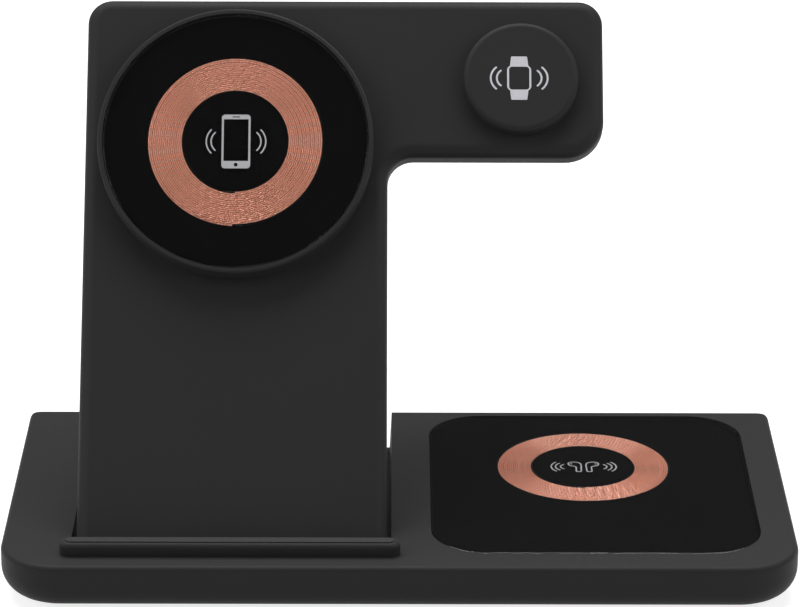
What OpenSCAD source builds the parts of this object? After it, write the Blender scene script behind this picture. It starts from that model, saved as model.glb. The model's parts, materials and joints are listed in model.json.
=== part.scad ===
// Wireless charging station: a low base with a charging pad for earbuds, and a
// leaning panel with a raised phone disc and a watch disc, which folds back into
// a notch in the base. Millimetres. X runs to the right, Y to the back, Z up.
// The origin is on the desk, under the middle of the object's box.

/* [Base] */
// Width of the base
base_w = 194; // [190:1:210]
// Depth of the base, front to back
base_d = 97.5; // [95:0.5:108]
// Height of the base housing, feet not counted
base_h = 12; // [12:0.5:15]
// Radius of the two front corners, seen from above
corner_r = 15; // [12:0.5:18]
// Radius of the two back corners, seen from above
back_corner_r = 3; // [2.5:0.5:5]
// Radius of the curve under the front and side edges
under_r = 6.7; // [5:0.1:7]
// Radius of the top edge
top_edge_r = 1.3; // [0.8:0.1:1.6]
// Wall and floor thickness of the base
wall = 2; // [1.8:0.1:2.2]
// Distance of the bottom cover from the front and side edges
cover_inset = 9; // [8.6:0.1:9.4]
// Distance of the bottom cover from the back edge
cover_back = 3; // [2.8:0.1:4]
// Height that the feet stand out below the cover
foot_h = 0.8; // [0.5:0.1:2]
// Diameter of a foot
foot_d = 14; // [10:0.5:14]
// Distance of the feet's middles from the side edges of the base
foot_side = 21; // [20:0.5:27]

/* [Notch and hinge] */
// Distance of the notch from the left edge of the base
notch_side = 16.95; // [16.6:0.05:17.5]
// Gap between the folding panel and each side of the notch
fold_gap = 1.15; // [0.8:0.05:1.5]
// Distance of the hinge axis from the front edge of the base
hinge_back = 17.2; // [17:0.1:19]
// Gap between the panel's nose and the front of the notch
nose_gap = 0.8; // [0.5:0.1:0.9]
// Radius of the hinge pins
pin_r = 1.75; // [1.6:0.05:1.85]
// Radius of the cable channel through the right pin
channel_r = 0.95; // [0.85:0.05:1.05]
// Radial running gap between pin and rolled hinge barrel
hinge_run = 0.03; // [0.02:0.01:0.05]
// Width of each hinge block
block_w = 6.5; // [5:0.25:6.75]
// Length of each hinge block, front to back
block_len = 16; // [14:0.5:18]
// Length of each rolled barrel
barrel_len = 10; // [8:0.5:12]

/* [Phone rest] */
// Length by which the rest bar passes the notch on each side
lip_over = 2.15; // [1:0.05:3]
// Depth of the rest bar
lip_d = 4.8; // [4.4:0.1:5.2]
// Height of the rest bar above the base
lip_h = 3.3; // [2.5:0.1:5]
// Width of the soft strip in the rest bar
strip_w = 2.6; // [2:0.1:3]

/* [Pad] */
// Margin between the pad and the right edge of the base
pad_side = 8.6; // [8:0.1:10]
// Margin between the pad and the front edge of the base
pad_front = 9; // [8:0.25:12]
// Margin between the pad and the back edge of the base
pad_back = 2.4; // [2.2:0.1:4]
// Margin between the pad and the notch
pad_left = 9.85; // [9.6:0.05:11]
// Corner radius of the pad
pad_r = 13.5; // [8:0.5:16]
// Width of the ledge that carries the pad glass
pad_ledge = 2; // [1.8:0.1:2.4]
// Distance of the pad coil's middle from the back edge of the pad glass
pad_coil_back = 30.7; // [27:0.1:50]
// Distance by which the pad coil lies left of the pad's middle
pad_coil_left = 1.2; // [0:0.1:3]
// Thickness of the cover glasses
glass_t = 1.2; // [0.9:0.1:1.2]
// Radius of the cover glasses' top edge
glass_edge_r = 0.35; // [0.2:0.05:0.6]

/* [Panel] */
// Lean of the panel from upright, in degrees
recline = 36.2; // [25:0.1:42]
// Width of the panel below its arm
panel_w = 75.7; // [74:0.1:80]
// Length of the panel from the hinge axis to its top edge
panel_len = 142.4; // [141:0.1:160]
// Thickness of the panel
panel_t = 9; // [8.8:0.1:9.4]
// Thickness of the panel's two shells
shell_t = 1.6; // [1.5:0.05:1.7]
// Radius of the soft edge round the panel
soft_r = 3; // [2.5:0.1:3.4]
// Radius of the panel's two outer top corners
panel_corner_r = 6.2; // [5.5:0.1:9]
// Reach of the watch arm past the panel
arm_reach = 54.2; // [52:0.1:64]
// Height of the watch arm
arm_h = 41.4; // [38:0.1:43]
// Radius of the arm's lower outer corner
arm_corner_r = 9.75; // [7:0.05:12]
// Radius of the inside corner between arm and panel
arm_inner_r = 6.5; // [4:0.1:12]

/* [Phone disc] */
// Diameter of the phone disc
disc_d = 68.8; // [66:0.1:70]
// Distance of the disc's middle from the panel's top edge
disc_down = 39.1; // [38.5:0.1:50]
// Height of the disc above the panel
disc_rise = 5.2; // [4.6:0.1:7]
// Width of the rim round the disc glass
rim_w = 1.2; // [1:0.05:1.5]
// Depth of the disc glass below the rim
glass_sink = 0.3; // [0.1:0.05:0.5]

/* [Watch disc] */
// Diameter of the watch disc
watch_d = 28.9; // [28.5:0.1:32]
// Distance of the watch disc's middle from the arm's outer end
watch_in = 20.85; // [20:0.05:24]
// Distance of the watch disc's middle from the panel's top edge
watch_down = 21.8; // [20:0.1:22.5]
// Height of the watch disc above the arm
watch_rise = 3.5; // [3:0.1:5]
// Radius of the watch disc's top edge
watch_edge_r = 1.4; // [0.8:0.1:1.5]

/* [Coils] */
// Radius inside the phone and pad coils
coil_inner_r = 13; // [11:0.1:13.2]
// Turns of the phone and pad coils
coil_turns = 17; // [12:1:17]
// Radius inside the watch coil
watch_coil_inner_r = 5.2; // [5:0.1:5.4]
// Turns of the watch coil
watch_coil_turns = 12; // [8:1:12]
// Distance from one turn to the next
coil_pitch = 0.5; // [0.48:0.01:0.5]
// Radius of the coil wire
wire_r = 0.22; // [0.18:0.01:0.23]
// Thickness of the ferrite discs
ferrite_t = 0.9; // [0.7:0.1:1]
// Number of places round the magnet ring, the gap for the leads counted
magnet_places = 18; // [12:1:24]

/* [Electronics] */
// Width of the main board
board_w = 56; // [50:1:60]
// Depth of the main board
board_d = 33.5; // [31:0.5:36]
// Thickness of the circuit boards
board_t = 1.2; // [1:0.1:1.4]
// Width of the panel board
panel_board_w = 50; // [46:1:52]
// Length of the panel board
panel_board_len = 28; // [26:1:30]
// Width of the power inlet
inlet_w = 8.94; // [8.8:0.02:9.1]
// Height of the power inlet
inlet_h = 3.26; // [3.1:0.02:3.3]
// Length of the power inlet
inlet_len = 7.35; // [7:0.05:8]

/* [Hidden] */
$fn = 64;

soft_touch = "#3e3e40";
gloss_black = "#151517";
inner_black = "#232325";
copper = "#bd7e6a";
steel = "#a9abae";
board_green = "#1f4a36";

// Clearance between pieces that drop into one another
fit = 0.15;
// Small gap between a screw and its hole, and between a pin and its block
snug = 0.03;
// Extra length by which a cut passes the face that it opens
past = 1;

// Heights above the desk
base_floor = foot_h + wall;
base_top = foot_h + base_h;
roof = base_top - wall;
hinge_z = base_top - panel_t / 2;

// The panel leans back by recline, so its length rises at this angle
rise = 90 - recline;
// Point on the panel's top back edge that reaches furthest back
panel_reach = hinge_back + (panel_len - soft_r) * cos(rise)
    + (panel_t / 2 - soft_r) * sin(rise) + soft_r;
front_y = -max(base_d, panel_reach) / 2;

// Left and right edges of the main forms
base_x0 = -base_w / 2;
base_x1 = base_w / 2;
notch_w = panel_w + 2 * fold_gap;
notch_x0 = base_x0 + notch_side;
notch_x1 = notch_x0 + notch_w;
panel_x0 = notch_x0 + fold_gap;
panel_x1 = panel_x0 + panel_w;
panel_mid = (panel_x0 + panel_x1) / 2;
arm_x1 = panel_x1 + arm_reach;
pad_x0 = notch_x1 + pad_left;
pad_x1 = base_x1 - pad_side;

// Notch, measured from the base's front edge
notch_front = hinge_back - panel_t / 2 - nose_gap;
draft = 3;
lip_gap = 0.9;
lip_y0 = notch_front - lip_gap - lip_d;
lip_x0 = notch_x0 - lip_over;
lip_x1 = notch_x1 + lip_over;
lip_edge_r = 1.2;
strip_end = 1.6;
strip_t = 1.2;
strip_proud = 0.25;

// Bottom cover, measured from the base's front edge
cover_x0 = base_x0 + cover_inset;
cover_x1 = base_x1 - cover_inset;
cover_y0 = cover_inset;
cover_y1 = base_d - cover_back;
cover_corner_r = corner_r - cover_inset - 2;
cover_back_r = 2;
foot_sunk = 0.4;
foot_front_y = cover_y0 + 9;
foot_back_y = cover_y1 - 9.5;
tongue_w = 10;
tongue_t = 1.5;
tongue_reach = 1.8;
tongue_root = 5;
tongue_in = 16;

// Screws
head_r = 1.9;
head_h = 1.1;
shank_r = 1;
cross_w = 0.5;
cover_screw_len = 6.5;
board_screw_len = 2.6;
pan_r = 1.7;
pan_h = 0.9;
panel_screw_len = 5.4;
leaf_screw_len = 1.9;
boss_r = 2.6;
boss_slim = 0.2;
thread_left = 0.5;
pan_shank_r = 0.8;
pan_hole_r = pan_shank_r + snug;
pan_bite = 0.6;
// Depth by which a boss, rib or bar grows out of its wall
root = 0.4;

// Shell bosses stand in the left cell and beside the notch's right wall
boss_air = 0.6;
boss_in = 31;
left_boss_x = (cover_x0 + notch_x0 - wall) / 2;
right_boss_x = notch_x1 + wall + boss_r + boss_air;
boss_ys = [cover_y0 + boss_in, cover_y1 - boss_in];

// Hinge blocks fill their cells from cover to roof
block_left_x = notch_x0 - wall - block_w;
block_right_x = notch_x1 + wall;
block_y = hinge_back - block_len / 2;
block_screw_dy = 5;

// Pad glass and what lies under it
glass_top = base_top - 0.1;
glass_low = glass_top - glass_t;
pad_y0 = pad_front;
pad_y1 = base_d - pad_back;
pad_mid = (pad_x0 + pad_x1) / 2;
pad_coil_x = pad_mid - pad_coil_left;
pad_coil_y = pad_y1 - pad_coil_back;
carrier_depth = 3.5;
carrier_low = base_top - carrier_depth;
flange_in = 0.5;
coil_air = 0.1;
ferrite_over = 0.35;
coil_outer_r = coil_inner_r + coil_turns * coil_pitch + coil_pitch / 2;
ferrite_r = coil_outer_r + ferrite_over;
coil_top = glass_low - coil_air;
coil_low = coil_top - 2 * wire_r;
ferrite_low = coil_low - ferrite_t;

// The two leads of a coil leave at its front, this far apart and off its edges
lead_step = 1.8;
lead_out = 0.6;
lead_in = 0.9;
lead_out_r = ferrite_r + lead_out;
lead_in_r = coil_inner_r - lead_in;
lead_hole_r = 0.5;
lead_spread = 0.6;

// Main board
standoff_h = 1.6;
board_air = 0.9;
board_mid = pad_mid;
board_low = base_floor + standoff_h;
board_top = board_low + board_t;
board_y1 = base_d - wall - board_air;
board_y0 = board_y1 - board_d;
board_corner_r = 1.5;
board_hole_in = 3;
standoff_r = 2.4;
standoff_bore_r = 0.9;
pad_lead_in = 1.5;
power_coil_w = 6.4;
power_coil_h = 2.4;
power_coil_dx = 18;
power_coil_y = 24.5;
post_r = 3;
post_dx = 20;
post_y = pad_y0 + 19;
inlet_wall = 0.3;
inlet_mouth = 0.6;
inlet_fit = 0.25;
inlet_z = board_top + inlet_h / 2;
tongue_plate_w = 6.7;
tongue_plate_t = 0.7;
tongue_short = 1;
tongue_block = 1.2;

// Panel, in its own frame: Y along the panel from the hinge axis, Z out of its face
face = panel_t / 2;
inner_face = face - shell_t;
arm_y0 = panel_len - arm_h;
disc_y = panel_len - disc_down;
disc_r = disc_d / 2;
disc_top = face + disc_rise;
disc_glass_low = disc_top - glass_sink - glass_t;
spigot_step = 1.5;
glass_ledge = 1;
disc_spigot_r = disc_r - spigot_step;
disc_bore_r = disc_r - rim_w - glass_ledge;
disc_floor_t = 1.2;
disc_floor = inner_face + disc_floor_t;
rim_edge_r = 0.5;
window_w = 6;
window_len = 13.5;
window_out = 1.5;
phone_coil_top = disc_glass_low - coil_air;
phone_coil_low = phone_coil_top - 2 * wire_r;
phone_ferrite_low = phone_coil_low - ferrite_t;
plate_t = 0.5;
magnet_t = 1.9;
magnet_air = 1.75;
magnet_w = 4;
magnet_r0 = ferrite_r + magnet_air;
magnet_r1 = magnet_r0 + magnet_w;
magnet_gap = 1.6;
ring_margin = 0.4;

watch_wall = 1.6;
watch_cap = 1.4;
watch_magnet_air = 1.2;
watch_lead_in = 0.7;
watch_x = arm_x1 - watch_in;
watch_y = panel_len - watch_down;
watch_top = face + watch_rise;
watch_bore_r = watch_d / 2 - watch_wall;
watch_roof = watch_top - watch_cap;
watch_coil_outer_r = watch_coil_inner_r + watch_coil_turns * coil_pitch + coil_pitch / 2;
watch_coil_top = watch_roof - fit;
watch_coil_low = watch_coil_top - 2 * wire_r;
watch_ferrite_low = watch_coil_low - ferrite_t;
watch_magnet_r = watch_coil_inner_r - watch_magnet_air;
tray_flange_t = 1;
tray_flange_over = 2.6;
watch_lead_out_r = watch_coil_outer_r + lead_hole_r;
watch_lead_in_r = watch_coil_inner_r - watch_lead_in;

// Panel board lies on standoffs of the back shell
panel_standoff_h = 1.4;
panel_board_y0 = 30;
panel_board_low = -inner_face + panel_standoff_h;
panel_board_t = 1;
panel_board_top = panel_board_low + panel_board_t;
panel_board_y1 = panel_board_y0 + panel_board_len;
panel_hole_in = 2.6;
panel_lead_in = 2;
watch_lead_dx = panel_board_w / 2 - 6;
watch_lead_y = 5;
lead_level = 0.6;

// Ribs on the inside of the back shell, above the panel board
rib_t = 1;
rib_h = 2.2;
rib_xs = 3;
rib_ys = 4;
rib_y0 = panel_board_y1 + 6;
rib_y1 = panel_len - 10;

panel_screw_in = 6;
low_screw_y = 24;
disc_clear = 3;
inner_screw_x = panel_x1 - 4.5;
panel_screw_pts = [
    [panel_x0 + panel_screw_in, low_screw_y],
    [panel_x1 - panel_screw_in, low_screw_y],
    [panel_x0 + panel_screw_in, disc_y - disc_r - disc_clear],
    [panel_x1 - panel_screw_in, disc_y - disc_r - disc_clear],
    [panel_x0 + panel_screw_in, panel_len - panel_screw_in],
    [inner_screw_x, panel_len - panel_screw_in],
    [arm_x1 - panel_screw_in, panel_len - panel_screw_in],
    [arm_x1 - panel_screw_in, arm_y0 + panel_screw_in]];

// Rolled hinge leaves
barrel_air = 0.1;
barrel_in = soft_r - shell_t + barrel_air;
barrel_r = inner_face - barrel_air;
leaf_len = 17;
leaf_t = barrel_r - pin_r - hinge_run;
leaf_top = -inner_face + leaf_t + barrel_air;
joint_gap = 0.3;
pin_hole_r = pin_r + joint_gap;
barrel_left_x = panel_x0 + shell_t + barrel_in;
barrel_right_x = panel_x1 - shell_t - barrel_in - barrel_len;
pin_past = 0.5;
leaf_screw_ys = [8, 14];

// Cable through the hinge
lead_r = 0.75;
cable_turn = 4;
cable_level = 0.4;
cable_bend_y = 20;
cable_board_dx = 14;
cable_board_in = 2.4;
base_lead_dx = 17;
base_lead_turn = 12;

// Places the base, whose Y starts at its front edge
module on_base() {
    translate([0, front_y, 0]) children();
}

// Places the panel at its lean, with its Y starting at the hinge axis
module on_panel() {
    translate([0, front_y + hinge_back, hinge_z]) rotate([rise, 0, 0]) children();
}

// Half section of a plate's edge, from a depth inside it out to the edge
module edge_section(depth, h, top_r, low_r) {
    difference() {
        square([depth, h]);
        if (low_r > 0) translate([depth - low_r, 0]) difference() {
            translate([0, -past]) square([low_r + past, low_r + past]);
            translate([0, low_r]) circle(low_r);
        }
        if (top_r > 0) translate([depth - top_r, h - top_r]) difference() {
            square([top_r + past, top_r + past]);
            circle(top_r);
        }
    }
}

// Plate with round corners and round edges: each corner is turned, each side is
// drawn out straight between two corners, and a core fills the middle.
// radii go round from the front left corner by the front right one.
module soft_slab(lo, hi, radii, h, top_r, low_r) {
    m = max(top_r, low_r) + 0.5;
    corners = [
        [lo[0] + radii[0], lo[1] + radii[0]], [hi[0] - radii[1], lo[1] + radii[1]],
        [hi[0] - radii[2], hi[1] - radii[2]], [lo[0] + radii[3], hi[1] - radii[3]]];
    starts = [
        [corners[0][0], lo[1]], [hi[0], corners[1][1]],
        [corners[2][0], hi[1]], [lo[0], corners[3][1]]];
    for (i = [0 : 3]) {
        next = corners[(i + 1) % 4];
        span = i % 2 == 0 ? abs(next[0] - corners[i][0]) : abs(next[1] - corners[i][1]);
        translate(corners[i]) rotate([0, 0, 180 + 90 * i])
            rotate_extrude(angle = 90) edge_section(radii[i], h, top_r, low_r);
        translate(starts[i]) rotate([0, 0, 90 * i]) translate([0, m, 0]) rotate([90, 0, 90])
            linear_extrude(span) mirror([1, 0]) edge_section(m, h, top_r, low_r);
    }
    linear_extrude(h) polygon([
        [corners[0][0], lo[1] + m], [corners[1][0], lo[1] + m],
        [hi[0] - m, corners[1][1]], [hi[0] - m, corners[2][1]],
        [corners[2][0], hi[1] - m], [corners[3][0], hi[1] - m],
        [lo[0] + m, corners[3][1]], [lo[0] + m, corners[0][1]]]);
}

// Flat outline with a radius at each corner, in the same order as soft_slab
module round_rect(lo, hi, radii) {
    difference() {
        translate(lo) square(hi - lo);
        for (i = [0 : 3]) {
            sx = i == 0 || i == 3 ? 1 : -1;
            sy = i < 2 ? 1 : -1;
            at = [sx > 0 ? lo[0] : hi[0], sy > 0 ? lo[1] : hi[1]];
            translate(at) difference() {
                translate([sx > 0 ? -past : -radii[i], sy > 0 ? -past : -radii[i]])
                    square(radii[i] + past);
                translate([sx * radii[i], sy * radii[i]]) circle(radii[i]);
            }
        }
    }
}

module round_plate(lo, hi, r, z0, z1) {
    translate([0, 0, z0]) linear_extrude(z1 - z0) round_rect(lo, hi, [r, r, r, r]);
}

module disc(at, r, z0, z1) {
    translate([at[0], at[1], z0]) cylinder(h = z1 - z0, r = r);
}

// Straight piece of round lead from a to b
module rod(a, b, r) {
    d = b - a;
    translate(a) rotate([0, acos(d[2] / norm(d)), atan2(d[1], d[0])])
        cylinder(h = norm(d), r = r, $fn = 24);
}

// Lead along a list of points, with a round joint at each bend
module run(points, r) {
    bulge = 1.03;
    for (i = [0 : len(points) - 2]) rod(points[i], points[i + 1], r);
    for (i = [1 : len(points) - 2]) translate(points[i]) sphere(r * bulge, $fn = 24);
}

// Flat wound coil, its two ends at the front: half turns whose centres lie in
// turn on either side of the middle, so that each runs into the next
module spiral(inner_r, turns) {
    rotate([0, 0, -90]) for (k = [0 : 2 * turns - 1]) {
        odd = k % 2;
        translate([odd * coil_pitch / 2, 0, 0]) rotate([0, 0, 180 * odd])
            rotate_extrude(angle = 180)
                translate([inner_r + (k + 1 - odd) * coil_pitch / 2 + odd * coil_pitch / 2, 0])
                    circle(wire_r, $fn = 16);
    }
}

// Screw with a sunk cross head, its head's face at z = 0 and its shank upwards
module sunk_screw(length) {
    difference() {
        union() {
            cylinder(h = head_h, r1 = head_r, r2 = shank_r);
            cylinder(h = length, r = shank_r);
        }
        cross_recess(head_r * 1.1);
    }
}

// Screw with a flat round head that stands above z = 0 and its shank downwards
module pan_screw(length) {
    difference() {
        union() {
            cylinder(h = pan_h, r = pan_r);
            translate([0, 0, -length]) cylinder(h = length + pan_h / 2, r = pan_shank_r);
        }
        translate([0, 0, pan_h]) mirror([0, 0, 1]) cross_recess(pan_r * 1.1);
    }
}

module cross_recess(width) {
    depth = 0.6;
    for (a = [0, 90]) rotate([0, 0, a])
        translate([-width / 2, -cross_w / 2, -depth]) cube([width, cross_w, 2 * depth]);
}

// Hole for a sunk screw, with its cone
module sunk_hole(length) {
    translate([0, 0, -past]) cylinder(h = length + past, r = shank_r + snug);
    cylinder(h = head_h + snug, r1 = head_r + 2 * snug, r2 = shank_r + snug);
    translate([0, 0, -past]) cylinder(h = past + 0.01, r = head_r + 2 * snug);
}

// Base form, shrunk by g on every side, from its underside to its top.
// Front and sides curve in below, and the back is cut off flat.
module base_form(g) {
    h = base_h - 2 * g;
    y1 = base_d - g;
    top_r = max(top_edge_r - g, 0);
    corner = corner_r - g;
    translate([0, 0, foot_h + g]) intersection() {
        soft_slab([base_x0 + g, g], [base_x1 - g, y1 + corner_r + 4],
            [corner, corner, corner, corner], h, top_r, under_r - g);
        linear_extrude(h) round_rect([base_x0 + g, g], [base_x1 - g, y1],
            [corner, corner, back_corner_r - min(g, 2), back_corner_r - min(g, 2)]);
    }
}

// Notch for the folding panel: its sides draw in a little towards the floor
module notch_cut() {
    lean = tan(draft) * (base_top - base_floor);
    translate([0, base_d + past, 0]) rotate([90, 0, 0])
        linear_extrude(base_d + past - notch_front)
            polygon([
                [notch_x0 + lean, base_floor], [notch_x1 - lean, base_floor],
                [notch_x1, base_top], [notch_x1, base_top + past],
                [notch_x0, base_top + past], [notch_x0, base_top]]);
}

// Room inside the base, kept clear of the walls round the notch
module base_room() {
    difference() {
        base_form(wall);
        translate([notch_x0 - wall, notch_front - wall, 0])
            cube([notch_w + 2 * wall, base_d, base_top]);
    }
}

// Outline of the bottom cover's seat, shrunk by g
module cover_plan(g) {
    round_rect([cover_x0 + g, cover_y0 + g], [cover_x1 - g, cover_y1 - g],
        [cover_corner_r - g, cover_corner_r - g, cover_back_r, cover_back_r]);
}

module at_shell_bosses() {
    for (x = [left_boss_x, right_boss_x], y = boss_ys) translate([x, y, 0]) children();
}

module at_block_screws() {
    for (x = [block_left_x + block_w / 2, block_right_x + block_w / 2])
        for (s = [-1, 1]) translate([x, hinge_back + s * block_screw_dy, 0]) children();
}

// Outline of the inlet, a slot with half-round ends, drawn out along Y
module inlet_bar(grow, y0, y1) {
    r = inlet_h / 2 + grow;
    reach = inlet_w / 2 - inlet_h / 2;
    translate([board_mid, y1, inlet_z]) rotate([90, 0, 0]) linear_extrude(y1 - y0) {
        for (s = [-1, 1]) translate([s * reach, 0]) circle(r);
        translate([-reach, -r]) square([2 * reach, 2 * r]);
    }
}

module base_shell() {
    color(soft_touch) on_base() difference() {
        union() {
            difference() {
                base_form(0);
                base_room();
                notch_cut();
            }
            lip_bar();
            at_shell_bosses() disc([0, 0], boss_r, base_floor, roof + root);
        }
        translate([0, 0, foot_h - past]) linear_extrude(wall + past) cover_plan(0);
        round_plate([pad_x0 - fit, pad_y0 - fit], [pad_x1 + fit, pad_y1 + fit],
            pad_r + fit, glass_low, base_top + past);
        round_plate([pad_x0 + pad_ledge, pad_y0 + pad_ledge],
            [pad_x1 - pad_ledge, pad_y1 - pad_ledge], pad_r - pad_ledge, roof - past, base_top);
        lip_groove();
        inlet_bar(inlet_fit, base_d - wall - past, base_d + past);
        for (x = [notch_x0 - wall - past, notch_x1 - past])
            translate([x, hinge_back, hinge_z]) rotate([0, 90, 0])
                cylinder(h = wall + 2 * past, r = pin_r + snug);
        at_shell_bosses() translate([0, 0, foot_h]) sunk_hole(cover_screw_len + thread_left);
    }
}

// Bar that stops the phone from sliding off, moulded on the base's top
module lip_bar() {
    end_r = lip_d / 2 - 0.01;
    translate([0, 0, base_top - root])
        soft_slab([lip_x0, lip_y0], [lip_x1, lip_y0 + lip_d], [end_r, end_r, end_r, end_r],
            lip_h + root, lip_edge_r, 0);
}

module strip_plan(grow, z0, z1) {
    y = lip_y0 + lip_d / 2;
    round_plate([lip_x0 + strip_end - grow, y - strip_w / 2 - grow],
        [lip_x1 - strip_end + grow, y + strip_w / 2 + grow], strip_w / 2 + grow - 0.01, z0, z1);
}

module lip_groove() {
    top = base_top + lip_h;
    strip_plan(0.06, top + strip_proud - strip_t, top + past);
}

module lip_strip() {
    top = base_top + lip_h + strip_proud;
    color(gloss_black) on_base() strip_plan(0, top - strip_t, top);
}

module base_cover() {
    color(inner_black) on_base() difference() {
        union() {
            translate([0, 0, foot_h]) linear_extrude(wall) cover_plan(fit);
            at_board_screws() disc([0, 0], standoff_r, base_floor - root, board_low);
            for (s = [-1, 1])
                disc([pad_mid + s * post_dx, post_y], post_r, base_floor - root, carrier_low);
            for (y = [cover_y0 + tongue_in, cover_y1 - tongue_in - tongue_w])
                translate([cover_x1 - tongue_root, y, base_floor])
                    cube([tongue_root + tongue_reach, tongue_w, tongue_t]);
        }
        at_shell_bosses() translate([0, 0, foot_h]) sunk_hole(wall + past);
        at_block_screws() translate([0, 0, foot_h]) sunk_hole(wall + past);
        at_board_screws() disc([0, 0], standoff_bore_r, base_floor - pan_bite, board_low + past);
        for (sx = [-1, 1], y = [foot_front_y, foot_back_y])
            disc([sx * (base_x1 - foot_side), y], foot_d / 2 + fit, foot_h - past,
                foot_h + foot_sunk);
    }
}

// Rubber foot, sunk a little into the cover, with a soft lower edge
module foot(side, y) {
    edge = 0.3;
    color(gloss_black) on_base() translate([side * (base_x1 - foot_side), y, 0])
        rotate_extrude() mirror([0, 1]) translate([0, -foot_h - foot_sunk])
            edge_section(foot_d / 2, foot_h + foot_sunk, edge, 0);
}

module foot_front_left() { foot(-1, foot_front_y); }
module foot_front_right() { foot(1, foot_front_y); }
module foot_back_left() { foot(-1, foot_back_y); }
module foot_back_right() { foot(1, foot_back_y); }

module cover_screws() {
    color(steel) on_base() {
        at_shell_bosses() translate([0, 0, foot_h]) sunk_screw(cover_screw_len);
        at_block_screws() translate([0, 0, foot_h]) sunk_screw(cover_screw_len);
    }
}

module pad_glass() {
    color(gloss_black) on_base() translate([0, 0, glass_low])
        soft_slab([pad_x0, pad_y0], [pad_x1, pad_y1], [pad_r, pad_r, pad_r, pad_r], glass_t,
            glass_edge_r, 0);
}

// Tray under the pad glass: a flange below the ledge and an island inside it
module pad_carrier() {
    color(inner_black) on_base() difference() {
        union() {
            round_plate([pad_x0 + flange_in, pad_y0 + flange_in],
                [pad_x1 - flange_in, pad_y1 - flange_in], pad_r - flange_in, carrier_low, roof);
            round_plate([pad_x0 + pad_ledge + fit, pad_y0 + pad_ledge + fit],
                [pad_x1 - pad_ledge - fit, pad_y1 - pad_ledge - fit],
                pad_r - pad_ledge - fit, carrier_low, glass_low);
        }
        disc([pad_coil_x, pad_coil_y], ferrite_r + fit, ferrite_low, base_top);
        disc([pad_coil_x + lead_step, pad_coil_y - lead_out_r], lead_hole_r + fit,
            carrier_low - past, base_top);
        disc([pad_coil_x - lead_step, pad_coil_y - lead_in_r], lead_hole_r,
            carrier_low - past, base_top);
    }
}

// Ferrite disc with a hole for the coil's inner lead
module ferrite(at, r, z0, hole_at) {
    difference() {
        disc(at, r, z0, z0 + ferrite_t);
        disc(hole_at, lead_hole_r, z0 - past, z0 + ferrite_t + past);
    }
}

module pad_ferrite() {
    color(inner_black) on_base() ferrite([pad_coil_x, pad_coil_y], ferrite_r, ferrite_low,
        [pad_coil_x - lead_step, pad_coil_y - lead_in_r]);
}

module pad_coil() {
    color(copper) on_base()
        translate([pad_coil_x, pad_coil_y, coil_low + wire_r]) spiral(coil_inner_r, coil_turns);
}

// The two ends of a coil, round to their holes and down to level z, and from there
// along the points of out_run and in_run
module coil_ends(inner_r, turns, out_r, in_r, z, out_run, in_run) {
    outer = inner_r + turns * coil_pitch + coil_pitch / 2;
    inner = inner_r + coil_pitch / 2;
    lift = 0.03;
    off = 0.1;
    run(concat([[0, -outer, 0], [lead_step, -outer - off, lift], [lead_step, -out_r, lift],
        [lead_step, -out_r, z]], out_run), wire_r);
    run(concat([[0, -inner, 0], [-lead_step, -inner + 4 * off, lift], [-lead_step, -in_r, lift],
        [-lead_step, -in_r, z]], in_run), wire_r);
}

module pad_coil_leads() {
    mid_z = coil_low + wire_r;
    low = board_top + standoff_h - mid_z;
    x = lead_step + lead_spread;
    y = board_y0 + pad_lead_in - pad_coil_y;
    color(copper) on_base() translate([pad_coil_x, pad_coil_y, mid_z])
        coil_ends(coil_inner_r, coil_turns, lead_out_r, lead_in_r, low,
            [[x, y, low], [x, y, board_top - mid_z]], [[-x, y, low], [-x, y, board_top - mid_z]]);
}

module at_board_screws() {
    for (s = [-1, 1], y = [board_y0 + board_hole_in, board_y1 - board_hole_in])
        translate([board_mid + s * (board_w / 2 - board_hole_in), y, 0]) children();
}

module main_board() {
    color(board_green) on_base() difference() {
        round_plate([board_mid - board_w / 2, board_y0], [board_mid + board_w / 2, board_y1],
            board_corner_r, board_low, board_top);
        at_board_screws() disc([0, 0], standoff_bore_r + fit, board_low - past, board_top + past);
    }
}

// Each chip: middle from the board's middle and front edge, size in X, Y and Z
module chips(at, list) {
    for (c = list) translate([at[0] + c[0] - c[2] / 2, at[1] + c[1] - c[3] / 2, at[2]])
        cube([c[2], c[3], c[4]]);
}

module main_board_chips() {
    color(inner_black) on_base() chips([board_mid, board_y0, board_top], [
        [-16, 9, 7, 7, 0.9], [0, 14, 6, 6, 0.9], [15, 9, 5, 5, 0.9],
        [-9, 24, 3, 2, 0.8], [9, 24, 3, 2, 0.8], [-17, 17, 4, 3, 1],
        [17, 17, 4, 3, 1]]);
}

module main_board_coils() {
    half = power_coil_w / 2;
    color(steel) on_base() for (s = [-1, 1])
        translate([board_mid + s * power_coil_dx, board_y0 + power_coil_y, 0])
            round_plate([-half, -half], [half, half], power_coil_w / 6, board_top,
                board_top + power_coil_h);
}

module main_board_screws() {
    color(steel) on_base() at_board_screws()
        translate([0, 0, board_top]) pan_screw(board_screw_len);
}

module inlet_shell() {
    y1 = base_d - inlet_mouth;
    color(steel) on_base() difference() {
        inlet_bar(0, y1 - inlet_len, y1);
        inlet_bar(-inlet_wall, y1 - inlet_len + inlet_wall, y1 + past);
    }
}

module inlet_tongue() {
    y0 = base_d - inlet_mouth - inlet_len + inlet_wall;
    color(inner_black) on_base() {
        inlet_bar(-inlet_wall, y0, y0 + tongue_block);
        translate([board_mid - tongue_plate_w / 2, y0, inlet_z - tongue_plate_t / 2])
            cube([tongue_plate_w, inlet_len - inlet_wall - tongue_short, tongue_plate_t]);
    }
}

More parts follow.
